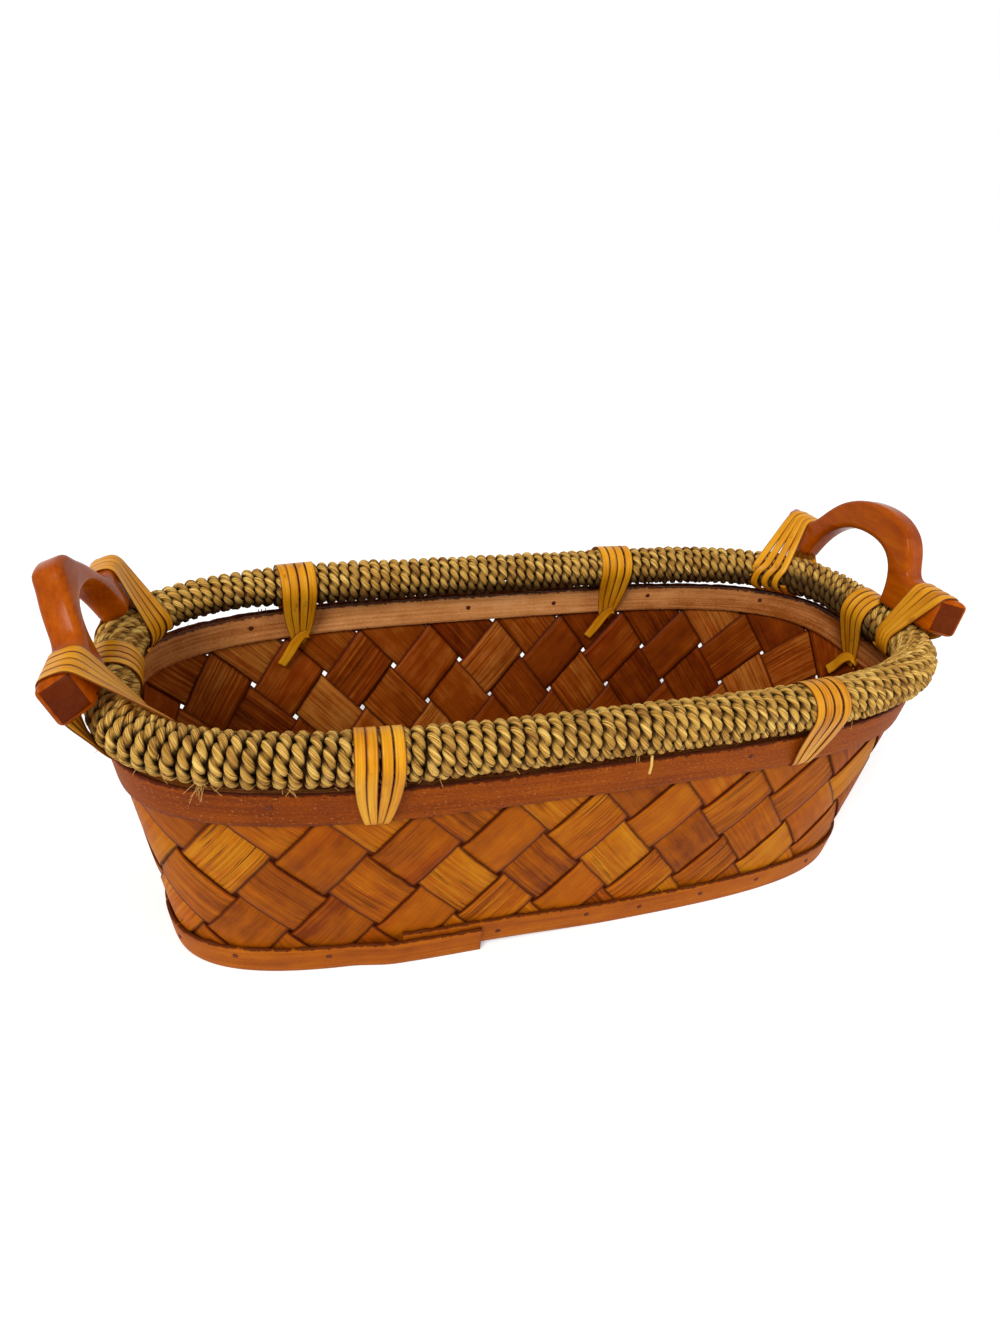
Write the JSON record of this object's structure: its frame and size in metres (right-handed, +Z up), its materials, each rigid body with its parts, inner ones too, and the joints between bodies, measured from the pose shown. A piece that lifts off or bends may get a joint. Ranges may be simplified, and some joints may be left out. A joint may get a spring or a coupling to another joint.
{
  "type": "woven basket",
  "caption": "Oblong chip-wood basket plaited on the bias, with bent foot and rim bands, a cord-wound rim roll and a cane-tied wooden bow handle at each end.",
  "frame": {"origin": "middle of the outline that the basket covers, on the surface that it stands on", "axes": "+Z up, X along the length through both handles, Y across"},
  "size_m": [0.4484, 0.1916, 0.1935],
  "materials": {
    "chip_wood": "stained and thinly varnished",
    "band_wood": "stained and thinly varnished",
    "hoop_wood": "bare",
    "seagrass": "twisted plant fibre, slightly glossy",
    "handle_wood": "stained and varnished",
    "cane": "split cane, satin"
  },
  "bodies": {
    "root": {"splint_01": "chip_wood", "splint_02": "chip_wood", "splint_03": "chip_wood", "splint_04": "chip_wood", "splint_05": "chip_wood", "splint_06": "chip_wood", "splint_07": "chip_wood", "splint_08": "chip_wood", "splint_09": "chip_wood", "splint_10": "chip_wood", "splint_11": "chip_wood", "splint_12": "chip_wood", "splint_13": "chip_wood", "splint_14": "chip_wood", "splint_15": "chip_wood", "splint_16": "chip_wood", "splint_17": "chip_wood", "splint_18": "chip_wood", "splint_19": "chip_wood", "splint_20": "chip_wood", "splint_21": "chip_wood", "splint_22": "chip_wood", "splint_23": "chip_wood", "splint_24": "chip_wood", "bottom_band": "band_wood", "outer_rim_band": "band_wood", "inner_rim_band": "band_wood", "rim_core": "hoop_wood", "rim_rope": "seagrass", "handle_left": "handle_wood", "handle_right": "handle_wood", "lashing_front_left": "cane", "lashing_front_right": "cane", "lashing_back_left": "cane", "lashing_back_right": "cane", "lashing_end_left": "cane", "lashing_end_right": "cane", "handle_tie_left_front": "cane", "handle_tie_left_back": "cane", "handle_tie_right_front": "cane", "handle_tie_right_back": "cane"}
  },
  "joints": []
}
